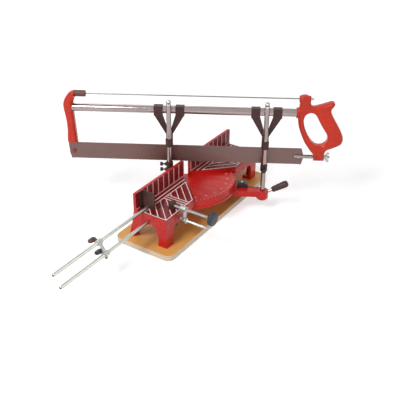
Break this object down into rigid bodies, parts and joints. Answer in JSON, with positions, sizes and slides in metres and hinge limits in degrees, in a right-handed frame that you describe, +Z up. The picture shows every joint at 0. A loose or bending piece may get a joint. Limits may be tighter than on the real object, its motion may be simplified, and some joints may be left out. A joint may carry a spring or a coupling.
{
  "type": "manual mitre saw",
  "caption": "Hand mitre saw on a board: framed blade sliding on two posts of a swinging arm, ribbed tables with fence, angle dial, length stop and work clamp.",
  "frame": {"origin": "on the swivel axis at the underside of the board", "axes": "+X along the fence to the user's right, -Y towards the user, +Z up"},
  "size_m": [0.758, 0.6117, 0.3216],
  "materials": {
    "plywood": "clear varnish",
    "red_casting": "gloss enamel",
    "chrome": "polished",
    "bright_steel": "drawn",
    "zinc": "zinc plated",
    "dark_metal": "satin enamel",
    "black_plastic": "moulded",
    "brown_plastic": "moulded",
    "blade_steel": "oiled"
  },
  "bodies": {
    "base": {"board": "plywood", "board_screws": "zinc", "left_bed": "red_casting", "right_bed": "red_casting", "dial": "red_casting", "dial_screws": "zinc", "pivot_bolt": "zinc", "stop_rail": "bright_steel", "clamp_rod": "bright_steel"},
    "arm": {"swing_arm": "red_casting", "index_block": "black_plastic", "front_post": "chrome", "rear_post": "chrome", "post_caps": "chrome"},
    "lock_handle": {"lock_stud": "chrome", "lock_grip": "brown_plastic"},
    "front_guide": {"front_guide": "dark_metal"},
    "rear_guide": {"rear_guide": "dark_metal"},
    "saw": {"saw_tube": "chrome", "front_arm": "red_casting", "handle": "red_casting", "blade": "blade_steel", "blade_pin": "zinc", "blade_clamp": "chrome", "clamp_pin": "zinc", "tension_rod": "bright_steel", "rod_ferrule": "brown_plastic", "rod_nut": "zinc"},
    "blade_wing_nut": {"blade_wing_nut": "zinc"},
    "front_stop": {"front_stop": "dark_metal"},
    "front_stop_screw": {"front_stop_screw": "black_plastic"},
    "rear_upper_stop": {"rear_upper_stop": "dark_metal"},
    "rear_upper_screw": {"rear_upper_screw": "black_plastic"},
    "rear_lower_stop": {"rear_lower_stop": "dark_metal"},
    "rear_lower_screw": {"rear_lower_screw": "black_plastic"},
    "stop_bracket": {"stop_bracket": "zinc", "bracket_screw": "black_plastic"},
    "rail_wing_screw": {"rail_wing_screw": "black_plastic"},
    "length_stop": {"stop_slide_rod": "bright_steel", "stop_plate": "dark_metal"},
    "slide_wing_screw": {"slide_wing_screw": "brown_plastic"},
    "clamp_rod_screw": {"clamp_rod_screw": "black_plastic"},
    "clamp_bracket": {"clamp_bracket": "zinc"},
    "clamp_jaw": {"clamp_jaw": "dark_metal"},
    "clamp_screw": {"clamp_screw": "bright_steel", "clamp_knob": "black_plastic"}
  },
  "joints": [
    {"name": "mitre_swivel", "type": "hinge", "parent": "base", "child": "arm", "pos_m": [0, 0, 0.054], "axis": [0, 0, 1], "range_deg": [-60, 15]},
    {"name": "lock_handle_twist", "type": "hinge", "parent": "arm", "child": "lock_handle", "pos_m": [0.08291, -0.17961, 0.0515], "axis": [0.4415, -0.7647, 0.4695], "range_deg": [-60, 60]},
    {"name": "guide_lift", "type": "slide", "parent": "arm", "child": "front_guide", "axis": [0, 0, 1], "range_m": [-0.042, 0.085]},
    {"name": "rear_guide_lift", "type": "slide", "parent": "arm", "child": "rear_guide", "axis": [0, 0, 1], "range_m": [-0.042, 0.085]},
    {"name": "saw_stroke", "type": "slide", "parent": "front_guide", "child": "saw", "axis": [0.5, -0.866, 0], "range_m": [-0.03, 0.2]},
    {"name": "blade_wing_nut_turn", "type": "hinge", "parent": "saw", "child": "blade_wing_nut", "pos_m": [0.1775, -0.30744, 0.155], "axis": [0.5, -0.866, 0], "range_deg": [-180, 180]},
    {"name": "front_stop_slide", "type": "slide", "parent": "arm", "child": "front_stop", "axis": [0, 0, 1], "range_m": [0, 0.03]},
    {"name": "front_stop_screw_turn", "type": "hinge", "parent": "front_stop", "child": "front_stop_screw", "pos_m": [0.06559, -0.18961, 0.13], "axis": [-0.866, -0.5, 0], "range_deg": [-90, 90]},
    {"name": "rear_upper_stop_slide", "type": "slide", "parent": "arm", "child": "rear_upper_stop", "axis": [0, 0, 1], "range_m": [0, 0.03]},
    {"name": "rear_upper_screw_turn", "type": "hinge", "parent": "rear_upper_stop", "child": "rear_upper_screw", "pos_m": [-0.04759, 0.04643, 0.1315], "axis": [-0.5, 0.866, 0], "range_deg": [-90, 90]},
    {"name": "rear_lower_stop_slide", "type": "slide", "parent": "arm", "child": "rear_lower_stop", "axis": [0, 0, 1], "range_m": [-0.03, 0]},
    {"name": "rear_lower_screw_turn", "type": "hinge", "parent": "rear_lower_stop", "child": "rear_lower_screw", "pos_m": [-0.04759, 0.04643, 0.1161], "axis": [-0.5, 0.866, 0], "range_deg": [-90, 90]},
    {"name": "stop_bracket_slide", "type": "slide", "parent": "base", "child": "stop_bracket", "axis": [1, 0, 0], "range_m": [-0.06, 0.05]},
    {"name": "rail_wing_screw_turn", "type": "hinge", "parent": "stop_bracket", "child": "rail_wing_screw", "pos_m": [-0.372, -0.02, 0.075], "axis": [0, 1, 0], "range_deg": [-90, 90]},
    {"name": "length_stop_slide", "type": "slide", "parent": "stop_bracket", "child": "length_stop", "axis": [1, 0, 0], "range_m": [-0.06, 0.07]},
    {"name": "slide_wing_screw_turn", "type": "hinge", "parent": "stop_bracket", "child": "slide_wing_screw", "pos_m": [-0.372, -0.003, 0.1], "axis": [0, 1, 0], "range_deg": [-90, 90]},
    {"name": "clamp_rod_screw_turn", "type": "hinge", "parent": "base", "child": "clamp_rod_screw", "pos_m": [-0.164, -0.075, 0.06], "axis": [0, 0, 1], "range_deg": [-90, 90]},
    {"name": "clamp_bracket_slide", "type": "slide", "parent": "base", "child": "clamp_bracket", "axis": [0, 1, 0], "range_m": [-0.03, 0.004]},
    {"name": "clamp_jaw_slide", "type": "slide", "parent": "clamp_bracket", "child": "clamp_jaw", "axis": [0, 1, 0], "range_m": [-0.004, 0.012]},
    {"name": "clamp_screw_turn", "type": "hinge", "parent": "clamp_jaw", "child": "clamp_screw", "pos_m": [-0.164, -0.12, 0.106], "axis": [0, 1, 0], "range_deg": [-361, 1081]}
  ],
  "couplings": [
    {"joint": "rear_guide_lift", "follows": "guide_lift", "ratio": 1},
    {"joint": "clamp_screw_turn", "follows": "clamp_jaw_slide", "rad_per_m": 1570.8}
  ]
}
